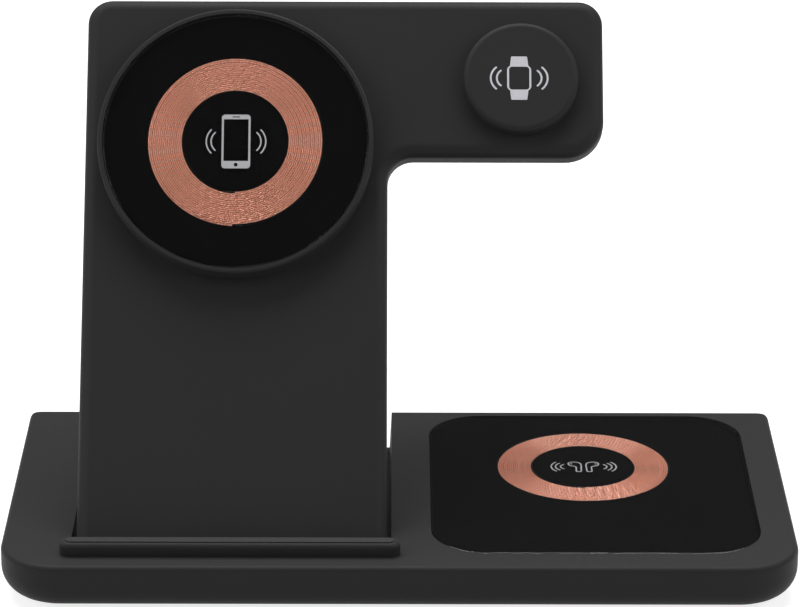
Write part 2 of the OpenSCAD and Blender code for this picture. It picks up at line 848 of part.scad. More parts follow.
// Cast block that holds a hinge pin, clamped between cover and roof
module hinge_block(x) {
    color(steel) on_base() difference() {
        translate([x, block_y, base_floor]) cube([block_w, block_len, roof - base_floor]);
        translate([x - past, hinge_back, hinge_z]) rotate([0, 90, 0])
            cylinder(h = block_w + 2 * past, r = pin_r + snug);
        at_block_screws() translate([0, 0, foot_h]) cylinder(
            h = cover_screw_len + thread_left, r = shank_r + snug);
    }
}

module hinge_block_left() { hinge_block(block_left_x); }
module hinge_block_right() { hinge_block(block_right_x); }

module hinge_pin_left() {
    color(steel) on_base() translate([block_left_x, hinge_back, hinge_z]) rotate([0, 90, 0])
        cylinder(h = barrel_left_x + barrel_len + pin_past - block_left_x, r = pin_r);
}

// The right pin is a tube, and the cable to the panel runs through it
module hinge_pin_right() {
    x0 = barrel_right_x - pin_past;
    length = block_right_x + block_w - x0;
    color(steel) on_base() translate([x0, hinge_back, hinge_z]) rotate([0, 90, 0]) difference() {
        cylinder(h = length, r = pin_r);
        translate([0, 0, -past]) cylinder(h = length + 2 * past, r = channel_r);
    }
}

// Cable in the base, from the hinge pin to the main board
module base_lead() {
    x0 = block_right_x + block_w + joint_gap;
    x1 = x0 + 2 * cable_turn;
    z = board_top + lead_r;
    color(gloss_black) on_base() run([
        [x0, hinge_back, hinge_z], [x0 + cable_turn, hinge_back, hinge_z],
        [x1, hinge_back + cable_turn, z], [x1, board_y0 - base_lead_turn, z],
        [board_mid - base_lead_dx, board_y0 + cable_board_in, z]], lead_r);
}

// Panel form, shrunk by g on every side: an upright slab, the watch arm, the
// hollow corner between them and a half-round nose about the hinge axis
module panel_form(g) {
    edge = soft_r - g;
    h = panel_t - 2 * g;
    corner = panel_corner_r - g;
    arm_corner = arm_corner_r - g;
    deep = edge + arm_inner_r * 0.5 + 1;
    lap = 24;
    top = panel_len - g;
    translate([0, 0, -h / 2]) {
        intersection() {
            soft_slab([panel_x0 + g, -lap], [panel_x1 - g, top], [corner, corner, corner, corner],
                h, edge, edge);
            translate([panel_x0, 0, -past]) cube([panel_w, panel_len, panel_t + 2 * past]);
        }
        soft_slab([panel_x1 - lap, arm_y0 + g], [arm_x1 - g, top],
            [corner, arm_corner, corner, corner], h, edge, edge);
        translate([panel_x1 - g + arm_inner_r + g, arm_y0 + g - arm_inner_r - g, 0])
            rotate([0, 0, 90]) rotate_extrude(angle = 90)
                translate([arm_inner_r + g + deep, 0]) mirror([1, 0])
                    edge_section(deep, h, edge, edge);
    }
    translate([panel_x0 + g, 0, 0]) rotate([90, 0, 90]) nose(panel_w - 2 * g, h / 2, edge);
}

// Half-round lower end of the panel, with the same soft edge at both sides
module nose(length, r, edge) {
    rotate([0, 0, 90]) rotate_extrude(angle = 180) difference() {
        square([r, length]);
        for (y = [0, length]) translate([r - edge, y == 0 ? edge : length - edge]) difference() {
            translate([0, y == 0 ? -edge - past : 0]) square(edge + past);
            circle(edge);
        }
    }
}

module at_panel_screws() {
    for (p = panel_screw_pts) translate([p[0], p[1], 0]) children();
}

// Half of the hollow panel, in front of or behind its middle plane
module panel_half(front) {
    difference() {
        intersection() {
            panel_form(0);
            translate([panel_x0 - past, -panel_t, front ? 0 : -panel_t])
                cube([arm_x1 - panel_x0 + 2 * past, panel_len + 2 * panel_t, panel_t]);
        }
        panel_form(shell_t);
        for (x = [panel_x0 - past, panel_x1 - shell_t - past]) translate([x, 0, 0])
            rotate([0, 90, 0]) cylinder(h = shell_t + 2 * past, r = pin_hole_r);
    }
}

// Domed boss of the watch disc
module watch_boss() {
    translate([watch_x, watch_y, inner_face]) rotate_extrude()
        edge_section(watch_d / 2, watch_top - inner_face, watch_edge_r, 0);
}

module panel_front_shell() {
    color(soft_touch) on_panel() difference() {
        union() {
            panel_half(true);
            watch_boss();
            at_panel_screws() disc([0, 0], boss_r - boss_slim, 0, inner_face + root);
        }
        disc([panel_mid, disc_y], disc_spigot_r + fit, -past, face + past);
        disc([watch_x, watch_y], watch_bore_r, 0, watch_roof);
        at_panel_screws() disc([0, 0], shank_r + snug, -past, inner_face);
    }
}

module panel_back_shell() {
    color(soft_touch) on_panel() difference() {
        union() {
            panel_half(false);
            back_ribs();
            at_panel_screws() disc([0, 0], boss_r - boss_slim, -inner_face - root, 0);
            at_panel_board_screws() disc([0, 0], standoff_r, -inner_face - root, panel_board_low);
        }
        at_panel_screws() translate([0, 0, -face]) sunk_hole(panel_t);
        at_leaf_screws() disc([0, 0], pan_hole_r, -inner_face - 2 * pan_bite, 0);
        at_panel_board_screws() disc([0, 0], pan_hole_r, -inner_face - pan_bite, 0);
    }
}

// Grid of low ribs that stiffens the back shell behind the phone disc
module back_ribs() {
    x0 = panel_x0 + shell_t;
    x1 = panel_x1 - shell_t;
    low = -inner_face - root;
    for (i = [1 : rib_xs]) translate([x0 + i * (x1 - x0) / (rib_xs + 1) - rib_t / 2, rib_y0, low])
        cube([rib_t, rib_y1 - rib_y0, rib_h + root]);
    for (i = [0 : rib_ys]) translate([x0 - root, rib_y0 + i * (rib_y1 - rib_y0) / rib_ys, low])
        cube([x1 - x0 + 2 * root, rib_t, rib_h + root]);
}

module panel_screws() {
    color(steel) on_panel() at_panel_screws() translate([0, 0, -face]) sunk_screw(panel_screw_len);
}

module at_leaf_screws() {
    for (x = [barrel_left_x, barrel_right_x], y = leaf_screw_ys)
        translate([x + barrel_len / 2, y, 0]) children();
}

// Steel leaf rolled round the hinge pin, which it grips so that the panel stays put
module hinge_leaf(x) {
    slit = 0.4;
    color(steel) on_panel() difference() {
        union() {
            translate([x, 0, 0]) rotate([0, 90, 0]) cylinder(h = barrel_len, r = barrel_r);
            translate([x, 0, -inner_face]) cube([barrel_len, leaf_len, leaf_t + barrel_air]);
        }
        translate([x - past, 0, 0]) rotate([0, 90, 0])
            cylinder(h = barrel_len + 2 * past, r = pin_r + hinge_run);
        translate([x - past, 0, leaf_top]) cube([barrel_len + 2 * past, panel_t, slit]);
        at_leaf_screws() disc([0, 0], pan_hole_r, -face, 0);
    }
}

module hinge_leaf_left() { hinge_leaf(barrel_left_x); }
module hinge_leaf_right() { hinge_leaf(barrel_right_x); }

module leaf_screws() {
    color(steel) on_panel() at_leaf_screws()
        translate([0, 0, leaf_top]) pan_screw(leaf_screw_len);
}

// Cup of the phone disc: floor inside the panel, wall outside, rim round the glass
module disc_housing() {
    color(soft_touch) on_panel() translate([panel_mid, disc_y, 0]) difference() {
        union() {
            disc([0, 0], disc_spigot_r, inner_face, face + past);
            translate([0, 0, face]) rotate_extrude() edge_section(disc_r, disc_rise, rim_edge_r, 0);
        }
        disc([0, 0], disc_bore_r, disc_floor, disc_top);
        disc([0, 0], disc_r - rim_w, disc_glass_low, disc_top + past);
        translate([-window_w / 2, -lead_out_r - window_out, inner_face - past])
            cube([window_w, window_len, disc_floor_t + 2 * past]);
    }
}

module disc_glass() {
    color(gloss_black) on_panel() translate([panel_mid, disc_y, disc_glass_low])
        rotate_extrude() edge_section(disc_r - rim_w - fit, glass_t, glass_edge_r, 0);
}

// Tray in the phone disc: coil and ferrite from above, magnets from below
module phone_carrier() {
    color(inner_black) on_panel() translate([panel_mid, disc_y, 0]) difference() {
        disc([0, 0], disc_bore_r - fit, disc_floor, disc_glass_low);
        disc([0, 0], ferrite_r + fit, phone_ferrite_low, disc_top);
        difference() {
            disc([0, 0], magnet_r1 + ring_margin, disc_floor - past, disc_floor + plate_t + magnet_t);
            disc([0, 0], magnet_r0 - ring_margin, disc_floor - past, disc_top);
        }
        disc([lead_step, -lead_out_r], lead_hole_r + fit, 0, disc_top);
        disc([-lead_step, -lead_in_r], lead_hole_r, 0, disc_top);
    }
}

module phone_ferrite() {
    color(inner_black) on_panel() ferrite([panel_mid, disc_y], ferrite_r, phone_ferrite_low,
        [panel_mid - lead_step, disc_y - lead_in_r]);
}

module phone_coil() {
    color(copper) on_panel()
        translate([panel_mid, disc_y, phone_coil_low + wire_r]) spiral(coil_inner_r, coil_turns);
}

module phone_coil_leads() {
    mid_z = phone_coil_low + wire_r;
    low = lead_level - mid_z;
    board = panel_board_top - mid_z;
    x = lead_step + lead_spread;
    y = panel_board_y1 - panel_lead_in - disc_y;
    color(copper) on_panel() translate([panel_mid, disc_y, mid_z])
        coil_ends(coil_inner_r, coil_turns, lead_out_r, lead_in_r, low,
            [[x, y, low], [x, y, board]], [[-x, y, low], [-x, y, board]]);
}

module magnet_plate() {
    color(steel) on_panel() translate([panel_mid, disc_y, 0]) difference() {
        disc([0, 0], magnet_r1 + ring_margin - 0.1, disc_floor, disc_floor + plate_t);
        disc([0, 0], magnet_r0 - ring_margin + 0.1, disc_floor - past, disc_top);
    }
}

// Ring of magnets, open at the front where the leads pass
module phone_magnets() {
    step = 360 / magnet_places;
    color(steel) on_panel() translate([panel_mid, disc_y, disc_floor + plate_t])
        for (i = [1 : magnet_places - 1]) rotate([0, 0, -90 + (i - 0.5) * step + magnet_gap / 2])
            rotate_extrude(angle = step - magnet_gap)
                translate([magnet_r0, 0]) square([magnet_r1 - magnet_r0, magnet_t]);
}

// Tray that closes the watch disc from inside
module watch_tray() {
    color(inner_black) on_panel() difference() {
        union() {
            disc([watch_x, watch_y], watch_bore_r + tray_flange_over, inner_face - tray_flange_t,
                inner_face);
            disc([watch_x, watch_y], watch_bore_r - fit, inner_face - tray_flange_t,
                watch_ferrite_low);
        }
        for (s = [-1, 1]) disc([watch_x + s * lead_step, watch_y - watch_lead_in_r],
            lead_hole_r + fit, 0, watch_top);
        disc([watch_x + lead_step, watch_y - watch_lead_out_r], lead_hole_r, 0, watch_top);
    }
}

module watch_ferrite() {
    color(inner_black) on_panel() difference() {
        disc([watch_x, watch_y], watch_coil_outer_r, watch_ferrite_low, watch_ferrite_low + ferrite_t);
        disc([watch_x, watch_y], watch_magnet_r + fit, 0, watch_top);
        disc([watch_x - lead_step, watch_y - watch_lead_in_r], lead_hole_r + 0.1, 0, watch_top);
    }
}

module watch_coil() {
    color(copper) on_panel() translate([watch_x, watch_y, watch_coil_low + wire_r])
        spiral(watch_coil_inner_r, watch_coil_turns);
}

module watch_magnet() {
    color(steel) on_panel()
        disc([watch_x, watch_y], watch_magnet_r, watch_ferrite_low, watch_roof);
}

// Leads of the watch coil, along the arm and down to the panel board
module watch_leads() {
    mid_z = watch_coil_low + wire_r;
    low = lead_level - mid_z;
    board = panel_board_top - mid_z;
    bend_y = arm_y0 + watch_lead_y - watch_y;
    x = panel_mid + watch_lead_dx - watch_x;
    y = panel_board_y1 - panel_lead_in - watch_y;
    s = lead_spread;
    color(copper) on_panel() translate([watch_x, watch_y, mid_z])
        coil_ends(watch_coil_inner_r, watch_coil_turns, watch_lead_out_r, watch_lead_in_r, low,
            [[lead_step, bend_y - s, low], [x + s, bend_y - s, low], [x + s, y, low],
                [x + s, y, board]],
            [[-lead_step, bend_y + s, low], [x - s, bend_y + s, low], [x - s, y, low],
                [x - s, y, board]]);
}

module at_panel_board_screws() {
    x = panel_board_w / 2 - panel_hole_in;
    for (s = [-1, 1], y = [panel_board_y0 + panel_hole_in, panel_board_y1 - panel_hole_in])
        translate([panel_mid + s * x, y, 0]) children();
}

module panel_board() {
    color(board_green) on_panel() difference() {
        round_plate([panel_mid - panel_board_w / 2, panel_board_y0],
            [panel_mid + panel_board_w / 2, panel_board_y1], board_corner_r,
            panel_board_low, panel_board_top);
        at_panel_board_screws() disc([0, 0], pan_hole_r + fit, -face, face);
    }
}

module panel_board_chips() {
    color(inner_black) on_panel() chips([panel_mid, panel_board_y0, panel_board_top], [
        [-12, 9, 6, 6, 0.9], [10, 9, 5, 5, 0.9], [-2, 14, 3, 4, 1],
        [-14, 20, 5, 4, 1.6], [8, 20, 5, 4, 1.6]]);
}

module panel_board_screws() {
    color(steel) on_panel() at_panel_board_screws()
        translate([0, 0, panel_board_top]) pan_screw(leaf_screw_len);
}

// Cable between base and panel: through the right pin, then up to the panel board
module hinge_lead() {
    x0 = block_right_x + block_w;
    x1 = barrel_right_x - 0.75 * cable_turn;
    color(gloss_black) on_panel() run([
        [x0, 0, 0], [x1, 0, 0], [x1 - cable_turn, cable_turn, cable_level],
        [x1 - cable_turn, cable_bend_y, cable_level],
        [panel_mid + cable_board_dx, panel_board_y0 + cable_board_in, panel_board_top + lead_r]],
        lead_r);
}

base_shell();
base_cover();
foot_front_left();
foot_front_right();
foot_back_left();
foot_back_right();
cover_screws();
lip_strip();
pad_glass();
pad_carrier();
pad_ferrite();
pad_coil();
pad_coil_leads();
main_board();
main_board_chips();
main_board_coils();
main_board_screws();
inlet_shell();
inlet_tongue();
hinge_block_left();
hinge_block_right();
hinge_pin_left();
hinge_pin_right();
base_lead();
panel_front_shell();
panel_back_shell();
panel_screws();
hinge_leaf_left();
hinge_leaf_right();
leaf_screws();
disc_housing();
disc_glass();
phone_carrier();
phone_ferrite();
phone_coil();
phone_coil_leads();
magnet_plate();
phone_magnets();
watch_tray();
watch_ferrite();
watch_coil();
watch_magnet();
watch_leads();
panel_board();
panel_board_chips();
panel_board_screws();
hinge_lead();
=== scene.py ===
"""Looks of a wireless charging station: a base with a flush pad, and a folding panel
with a raised phone disc and a watch disc."""

import json
import math
import random

import bmesh
import bpy
from bpy.props import FloatProperty, FloatVectorProperty, IntProperty, PointerProperty
from mathutils import Matrix, Vector


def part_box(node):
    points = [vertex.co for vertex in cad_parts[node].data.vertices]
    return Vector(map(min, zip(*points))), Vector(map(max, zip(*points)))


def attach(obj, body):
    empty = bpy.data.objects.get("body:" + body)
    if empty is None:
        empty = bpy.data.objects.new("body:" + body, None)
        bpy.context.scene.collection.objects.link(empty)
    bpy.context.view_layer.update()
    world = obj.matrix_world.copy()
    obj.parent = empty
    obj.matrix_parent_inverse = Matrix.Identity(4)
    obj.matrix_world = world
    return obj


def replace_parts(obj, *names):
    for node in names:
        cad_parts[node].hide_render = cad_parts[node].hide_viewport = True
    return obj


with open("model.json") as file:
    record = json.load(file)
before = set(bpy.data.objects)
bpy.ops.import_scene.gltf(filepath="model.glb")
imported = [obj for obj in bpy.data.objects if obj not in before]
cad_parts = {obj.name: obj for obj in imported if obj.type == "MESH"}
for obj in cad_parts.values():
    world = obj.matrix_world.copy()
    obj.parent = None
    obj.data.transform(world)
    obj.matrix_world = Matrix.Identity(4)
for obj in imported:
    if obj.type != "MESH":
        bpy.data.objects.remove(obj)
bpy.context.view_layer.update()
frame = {"nodes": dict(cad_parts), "record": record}
MOUNTS = {mount["name"]: mount for mount in frame["record"]["mounts"]}

bl_info = {
    "name": "Charging station looks",
    "version": (1, 0, 0),
    "blender": (4, 5, 0),
    "location": "3D View > Sidebar > Station",
    "description": "Dresses a wireless charging station in its plastics, glass, copper and signs",
    "category": "Object",
}

MM = 0.001
SHARP_FROM = math.radians(30)


def linear(hex_colour):
    """Linear red, green and blue of an sRGB hex colour such as #808080."""
    parts = [int(hex_colour[i:i + 2], 16) / 255 for i in (1, 3, 5)]
    return tuple(c / 12.92 if c <= 0.04045 else ((c + 0.055) / 1.055) ** 2.4 for c in parts)


def colour_property(name, description, hex_colour):
    """A colour that the user can change, given in sRGB hex."""
    return FloatVectorProperty(
        name=name, description=description, subtype="COLOR", size=3, min=0, max=1,
        default=linear(hex_colour))


def length_property(name, description, millimetres):
    """A length that the user can change, given in millimetres and kept in metres."""
    return FloatProperty(
        name=name, description=description, unit="LENGTH", min=0, default=millimetres * MM,
        precision=5)


class StationColours(bpy.types.PropertyGroup):
    """Colours of the finishes."""

    soft_touch: colour_property(
        "Soft-touch lacquer", "Lacquer on the base, the panel and the discs", "#2F2F30")
    black_plastic: colour_property(
        "Black plastic", "Bottom cover, trays and the inlet's tongue", "#151517")
    rubber: colour_property("Rubber", "Feet and the strip on the phone rest", "#18181A")
    glass: colour_property("Cover glass", "Tint of the pad's and the disc's glass", "#FEFEFE")
    copper: colour_property("Copper wire", "Lacquered wire of the coils", "#FCA88C")
    phone_ink: colour_property("Phone sign", "Ink of the phone sign on the disc", "#B4B4B6")
    watch_ink: colour_property("Watch sign", "Ink of the watch sign on the arm", "#CFCFD5")
    earbuds_ink: colour_property("Earbuds sign", "Ink of the earbuds sign on the pad", "#A2A2A5")
    back_ink: colour_property("Back print", "Black ink behind the glasses", "#0E0E0F")
    board: colour_property("Circuit board", "Solder mask of the boards", "#1B5A3C")
    ferrite: colour_property("Ferrite", "Discs behind the coils", "#151517")
    steel: colour_property("Steel", "Stainless sheet of the inlet's shell", "#BCBEC0")


class StationSizes(bpy.types.PropertyGroup):
    """Sizes of what the dressing adds."""

    coil_inner: length_property("Coil radius", "Radius inside the phone and pad coils", 13)
    coil_turns: IntProperty(name="Coil turns", description="Turns of those coils", default=17)
    watch_coil_inner: length_property("Watch coil radius", "Radius inside the watch coil", 5.2)
    watch_coil_turns: IntProperty(
        name="Watch coil turns", description="Turns of the watch coil", default=12)
    coil_pitch: length_property("Coil pitch", "Distance from one turn to the next", 0.5)
    wire_radius: length_property("Wire radius", "Radius of the wire with its lacquer", 0.24)
    strand_lay: length_property("Strand lay", "Length in which a strand turns round once", 7)
    print_depth: length_property("Print depth", "Thickness of the printed ink", 0.03)
    pad_corner: length_property("Pad corner", "Radius of the pad's corners", 13.5)
    bare_edge: length_property("Bare edge", "Unprinted edge of the glasses", 0.4)
    stroke: length_property("Stroke", "Width of the signs' lines", 0.36)
    lacquer_grain: length_property(
        "Lacquer grain", "Grain of the soft-touch lacquer, drawn coarser than real", 0.5)


class StationStage(bpy.types.PropertyGroup):
    """The floor, the light and the camera."""

    camera_place: FloatVectorProperty(
        name="Camera", description="Where the camera stands", subtype="TRANSLATION",
        unit="LENGTH", size=3, default=(-0.00242, -0.88576, 0.39879))
    camera_aim: FloatVectorProperty(
        name="Aim", description="The point that the camera's axis passes through",
        subtype="TRANSLATION", unit="LENGTH", size=3, default=(0.00339, -0.00187, 0.0508))
    camera_roll: FloatProperty(
        name="Roll", description="Turn of the camera about its axis", subtype="ANGLE",
        default=math.radians(0.268))
    lens: FloatProperty(name="Lens", description="Focal length", subtype="DISTANCE_CAMERA",
        default=172.27)
    shift_x: FloatProperty(name="Shift X", description="Sideways shift", default=-0.0172)
    shift_y: FloatProperty(name="Shift Y", description="Upward shift", default=0.0509)
    softbox_power: FloatProperty(
        name="Softbox", description="Power of the softbox overhead", unit="POWER", default=23)
    side_power: FloatProperty(
        name="Side boxes", description="Power of each softbox at the sides", unit="POWER",
        default=4.9)
    floor_glow: FloatProperty(
        name="Floor glow", description="Light that lifts the floor to white for the eye",
        default=0.8)
    floor: colour_property("Floor", "Pale paper under the object", "#B2B2B2")


def add_node(tree, kind, inputs, **settings):
    """Adds one node. inputs gives its sockets' values or links, settings its properties."""
    node = tree.nodes.new(kind)
    for name, value in settings.items():
        setattr(node, name, value)
    for name, value in inputs.items():
        if isinstance(value, bpy.types.NodeSocket):
            tree.links.new(value, node.inputs[name])
        else:
            node.inputs[name].default_value = value
    return node


def start_material(name, colour, roughness, metallic=0.0, **sockets):
    """A material of one Principled shader with its uniform values set on its own sockets."""
    material = bpy.data.materials.new(name)
    material.use_nodes = True
    shader = material.node_tree.nodes["Principled BSDF"]
    shader.inputs["Base Color"].default_value = (*colour, 1)
    shader.inputs["Roughness"].default_value = roughness
    shader.inputs["Metallic"].default_value = metallic
    for socket, value in sockets.items():
        shader.inputs[socket.replace("_", " ")].default_value = value
    material.diffuse_color = (*colour, 1)
    return material, material.node_tree, shader


def surface_noise(tree, size_mm, detail=3, stretch=(1, 1, 1)):
    """Noise on the surface whose patches have a real size."""
    coords = add_node(tree, "ShaderNodeTexCoord", {})
    placed = add_node(
        tree, "ShaderNodeMapping", {"Vector": coords.outputs["Object"], "Scale": stretch})
    noise = add_node(tree, "ShaderNodeTexNoise", {
        "Vector": placed.outputs["Vector"], "Scale": 1 / (size_mm * MM), "Detail": detail})
    return noise.outputs["Fac"]


def add_grain(tree, shader, size_mm, height_mm, rough, detail=3, stretch=(1, 1, 1)):
    """Relief of a real grain size, and a roughness that goes up and down with it."""
    grain = surface_noise(tree, size_mm, detail, stretch)
    bump = add_node(tree, "ShaderNodeBump", {"Height": grain, "Distance": height_mm * MM})
    spread = add_node(tree, "ShaderNodeMapRange", {
        "Value": grain, "From Min": 0.3, "From Max": 0.7, "To Min": rough[0], "To Max": rough[1]})
    tree.links.new(bump.outputs["Normal"], shader.inputs["Normal"])
    tree.links.new(spread.outputs["Result"], shader.inputs["Roughness"])


def add_tone(tree, shader, colour, change, size_mm, stretch=(1, 1, 1)):
    """Patches of a real size in which the colour is a share darker or lighter. Inputs 6 and
    7 and output 2 of the Mix node are its colours."""
    patches = surface_noise(tree, size_mm, 2, stretch)
    tone = add_node(tree, "ShaderNodeMix", {
        0: patches, 6: (*[c * (1 - change) for c in colour], 1),
        7: (*[min(1, c * (1 + change)) for c in colour], 1)}, data_type="RGBA")
    tree.links.new(tone.outputs[2], shader.inputs["Base Color"])


def soft_touch_abs(colours, sizes):
    """Moulded ABS under soft-touch lacquer: a dark even satin with a broad, dull gloss that
    lights up where an edge turns towards the lamp."""
    colour = tuple(colours.soft_touch)
    material, tree, shader = start_material(
        "soft_touch_abs", colour, 0.55, IOR=1.45, Specular_IOR_Level=0.12)
    add_grain(tree, shader, sizes.lacquer_grain / MM, 0.004, (0.5, 0.6))
    add_tone(tree, shader, colour, 0.05, 35)
    return material


def textured_abs(colours):
    """Spark-textured black ABS: a dull black with a fine sand-like relief."""
    colour = tuple(colours.black_plastic)
    material, tree, shader = start_material(
        "spark_textured_abs", colour, 0.6, IOR=1.54, Specular_IOR_Level=0.15)
    add_grain(tree, shader, 0.6, 0.02, (0.5, 0.7))
    add_tone(tree, shader, colour, 0.08, 12)
    return material


def silicone_rubber(colours):
    """Moulded silicone rubber: black, without gloss, with a soft bloom."""
    colour = tuple(colours.rubber)
    material, tree, shader = start_material(
        "silicone_rubber", colour, 0.75, IOR=1.41, Sheen_Weight=0.15)
    add_grain(tree, shader, 0.8, 0.01, (0.68, 0.82))
    add_tone(tree, shader, colour, 0.12, 6)
    return material


def cover_glass(colours):
    """Polished cover glass: a clear, nearly black mirror over the dark print below it, with
    the faintest waviness. Its body bends light less than real glass, which keeps the coils
    below it where they were measured, and its gloss is that of real glass."""
    colour = tuple(colours.glass)
    material, tree, shader = start_material(
        "polished_cover_glass", colour, 0.0, IOR=1.06, Transmission_Weight=1.0,
        Coat_Weight=1.0, Coat_IOR=1.5, Coat_Roughness=0.02)
    ripple = surface_noise(tree, 25, 1)
    bump = add_node(tree, "ShaderNodeBump", {"Height": ripple, "Distance": 0.002 * MM})
    tree.links.new(bump.outputs["Normal"], shader.inputs["Coat Normal"])
    return material


def copper_wire(colours):
    """Stranded copper wire under clear lacquer: pink, with turns that differ a little in tone.
    Its fine strands scatter the light like a dull surface, so little of it is a mirror."""
    colour = tuple(colours.copper)
    material, tree, shader = start_material(
        "lacquered_copper_wire", colour, 0.35, 0.18, Coat_Weight=0.5, Coat_Roughness=0.3)
    add_grain(tree, shader, 0.9, 0.01, (0.28, 0.42))
    add_tone(tree, shader, colour, 0.14, 1.1, (1, 1, 0.2))
    return material


def print_ink(name, colour, gloss=0.5):
    """Screen-printed ink: dull and slightly uneven from the mesh it was pressed through, and
    without gloss of its own where it lies against glass."""
    material, tree, shader = start_material(
        name, colour, 0.6, IOR=1.5, Specular_IOR_Level=gloss)
    add_grain(tree, shader, 0.25, 0.004, (0.55, 0.7))
    add_tone(tree, shader, colour, 0.08, 1.5)
    return material


def fired_ferrite(colours):
    """Pressed and fired ferrite: a dark grey stone with fine pits."""
    colour = tuple(colours.ferrite)
    material, tree, shader = start_material(
        "fired_ferrite", colour, 0.7, IOR=1.5, Specular_IOR_Level=0.1)
    add_grain(tree, shader, 0.35, 0.02, (0.6, 0.8), 5)
    add_tone(tree, shader, colour, 0.25, 3)
    return material


def pressed_iron_powder():
    """Pressed iron powder of the power coils: grey, grainy, half dull."""
    colour = linear("#5A5A5E")
    material, tree, shader = start_material("pressed_iron_powder", colour, 0.55, 0.4)
    add_grain(tree, shader, 0.3, 0.02, (0.45, 0.65), 5)
    add_tone(tree, shader, colour, 0.2, 0.8)
    return material


def solder_mask(colours):
    """Green solder mask over etched copper: glossy, with the tracks paler underneath."""
    colour = tuple(colours.board)
    material, tree, shader = start_material("solder_mask_on_glass_fibre", colour, 0.3, IOR=1.52)
    coords = add_node(tree, "ShaderNodeTexCoord", {})
    tracks = add_node(tree, "ShaderNodeTexBrick", {
        "Vector": coords.outputs["Object"],
        "Color1": (*colour, 1), "Color2": (*[c * 0.8 for c in colour], 1),
        "Mortar": (*[min(1, c * 2.2) for c in colour], 1),
        "Scale": 1 / MM, "Mortar Size": 0.12, "Brick Width": 5.5, "Row Height": 0.9})
    tree.links.new(tracks.outputs["Color"], shader.inputs["Base Color"])
    bump = add_node(tree, "ShaderNodeBump", {
        "Height": tracks.outputs["Fac"], "Distance": 0.03 * MM})
    tree.links.new(bump.outputs["Normal"], shader.inputs["Normal"])
    return material


def chip_epoxy():
    """Moulded epoxy of the chips: matt charcoal with a fine filler grain."""
    colour = linear("#1A1A1C")
    material, tree, shader = start_material("moulded_epoxy", colour, 0.6, IOR=1.55)
    add_grain(tree, shader, 0.15, 0.008, (0.52, 0.68))
    add_tone(tree, shader, colour, 0.1, 2)
    return material


def steel_finish(name, colour, rough, grain_mm, height_mm, stretch):
    """A steel whose grain is given by a real size and a direction."""
    material, tree, shader = start_material(name, colour, rough[0], 1.0)
    add_grain(tree, shader, grain_mm, height_mm, rough, 3, stretch)
    add_tone(tree, shader, colour, 0.06, 4)
    return material


def zinc_plated_steel():
    """Zinc-plated steel of the screws: bright, slightly blue, with a milky gloss."""
    return steel_finish(
        "zinc_plated_steel", linear("#B4BAC2"), (0.28, 0.42), 0.3, 0.003, (1, 1, 1))


def drawn_stainless(colours):
    """Drawn stainless sheet of the inlet: bright, with lines along the draw."""
    return steel_finish(
        "drawn_stainless_steel", tuple(colours.steel), (0.22, 0.34), 0.2, 0.003, (1, 0.1, 1))


def die_cast_zinc():
    """Die-cast zinc of the hinge blocks: dull grey with a clouded skin."""
    return steel_finish("die_cast_zinc", linear("#8F9296"), (0.42, 0.6), 0.7, 0.01, (1, 1, 1))


def ground_steel():
    """Ground steel of the pins and leaves: fine lines round or across the piece."""
    return steel_finish("ground_steel", linear("#A6A8AB"), (0.24, 0.4), 0.15, 0.003, (0.2, 1, 1))


def nickel_plate():
    """Nickel-plated magnets: a warm bright mirror, a little soft."""
    return steel_finish("nickel_plate", linear("#C9C5BD"), (0.1, 0.2), 0.8, 0.002, (1, 1, 1))


def cable_jacket():
    """Extruded soft PVC: black with a low gloss and faint lines along the cable."""
    colour = linear("#1A1A1A")
    material, tree, shader = start_material("extruded_soft_pvc", colour, 0.45, IOR=1.53)
    add_grain(tree, shader, 0.3, 0.006, (0.38, 0.55))
    add_tone(tree, shader, colour, 0.1, 5)
    return material


def dress(material, *nodes):
    """Gives CAD nodes one material."""
    for node in nodes:
        mesh = frame["nodes"][node].data
        mesh.materials.clear()
        mesh.materials.append(material)


def make_piece(name, vertices, faces, body, material):
    """A smooth mesh piece that rides on a body."""
    mesh = bpy.data.meshes.new(name)
    mesh.from_pydata(vertices, [], faces)
    return place_piece(name, mesh, body, material)


def place_piece(name, mesh, body, material):
    """Puts a mesh into the scene as a piece with one material, sharp only at real edges."""
    mesh.materials.clear()
    mesh.materials.append(material)
    mesh.shade_smooth()
    mesh.set_sharp_from_angle(angle=SHARP_FROM)
    piece = bpy.data.objects.new(name, mesh)
    bpy.context.scene.collection.objects.link(piece)
    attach(piece, body)
    return piece


def face_frame(centre, normal):
    """Matrix of a place on a face: X to the right, Y up the face, Z out of it."""
    out = Vector(normal).normalized()
    right = Vector((1, 0, 0))
    up = out.cross(right)
    matrix = Matrix((right, up, out)).transposed().to_4x4()
    matrix.translation = centre
    return matrix


def middle(node):
    """Middle of a CAD node's box."""
    low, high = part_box(node)
    return (low + high) / 2


